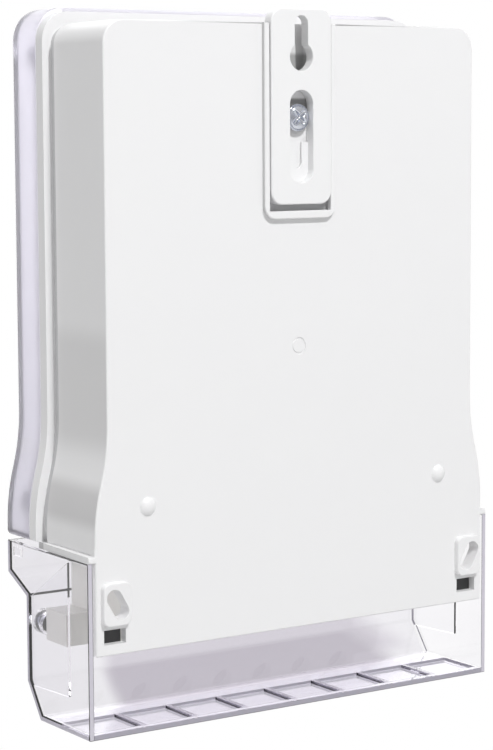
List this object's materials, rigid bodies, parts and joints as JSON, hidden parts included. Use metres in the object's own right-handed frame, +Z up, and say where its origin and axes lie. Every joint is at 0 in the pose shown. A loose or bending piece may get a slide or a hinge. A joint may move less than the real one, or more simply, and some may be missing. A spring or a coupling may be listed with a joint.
{
  "type": "three-phase electricity meter",
  "caption": "Wall-mounted electricity meter with white base, height-adjustable keyhole hanger, clear front cover and clear open-backed terminal cover.",
  "frame": {"origin": "on the wall plane, midway between the two lower fixing slots", "axes": "+X along the width, +Y towards the wall (the front faces -Y), +Z up"},
  "size_m": [0.1698, 0.0611, 0.243],
  "materials": {
    "base_white": "satin moulded white",
    "hanger_white": "satin moulded white",
    "zinc_screw": "bright zinc plated",
    "brass": "machined brass",
    "gasket_grey": "matt rubber",
    "clear_cover": "clear, lightly frosted sides",
    "fascia_white": "matt white",
    "frame_white": "matt white",
    "display_glass": "grey-green display",
    "button_yellow": "satin yellow",
    "spring_steel": "spring wire",
    "part_black": "matt black",
    "lamp_red": "clear red",
    "port_steel": "turned steel",
    "lens_dark": "dark red filter",
    "board_green": "solder mask",
    "coil_blue": "taped winding",
    "copper": "bare copper",
    "core_grey": "laminated core",
    "varistor_blue": "dipped",
    "chip_grey": "moulded package",
    "battery_green": "sleeved cell",
    "block_white": "moulded, off-white",
    "clear_terminal_cover": "clear, faint violet tint"
  },
  "bodies": {
    "meter": {"base_housing": "base_white", "hanger_screw": "zinc_screw", "hanger_nut": "brass", "cover_gasket": "gasket_grey", "fascia_plate": "fascia_white", "display_frame": "frame_white", "display_glass": "display_glass", "key_switches": "part_black", "pulse_lamps": "lamp_red", "optical_lenses": "lens_dark", "circuit_board": "board_green", "board_screws": "zinc_screw", "current_transformers": "coil_blue", "busbars": "copper", "supply_transformer": "core_grey", "capacitors": "part_black", "surge_varistors": "varistor_blue", "processor_chips": "chip_grey", "battery_holder": "part_black", "backup_battery": "battery_green", "tamper_switch": "part_black", "terminal_block": "block_white", "terminal_clamps": "brass", "terminal_screws": "zinc_screw", "auxiliary_terminals": "brass", "auxiliary_screws": "zinc_screw", "terminal_block_screws": "zinc_screw"},
    "hanger": {"hanger_slider": "hanger_white"},
    "front_cover": {"main_cover": "clear_cover", "main_cover_screws": "zinc_screw", "optical_port_ring": "port_steel", "button_spring_left": "spring_steel", "button_spring_right": "spring_steel"},
    "left_button": {"button_left": "button_yellow"},
    "right_button": {"button_right": "button_yellow"},
    "lower_cover": {"terminal_cover": "clear_terminal_cover", "terminal_cover_screws": "zinc_screw"}
  },
  "joints": [
    {"name": "hanger_slide", "type": "slide", "parent": "meter", "child": "hanger", "axis": [0, 0, 1], "range_m": [-0.0019, 0.015]},
    {"name": "terminal_cover_slide", "type": "slide", "parent": "meter", "child": "lower_cover", "axis": [0, -1, 0], "range_m": [0, 0.08]},
    {"name": "main_cover_slide", "type": "slide", "parent": "meter", "child": "front_cover", "axis": [0, -1, 0], "range_m": [0, 0.07]},
    {"name": "button_left_press", "type": "slide", "parent": "front_cover", "child": "left_button", "axis": [0, 1, 0], "range_m": [0, 0.0015], "stiffness_N_per_m": 400, "springref_m": -0.001, "deforming": ["button_spring_left"]},
    {"name": "button_right_press", "type": "slide", "parent": "front_cover", "child": "right_button", "axis": [0, 1, 0], "range_m": [0, 0.0015], "stiffness_N_per_m": 400, "springref_m": -0.001, "deforming": ["button_spring_right"]}
  ]
}
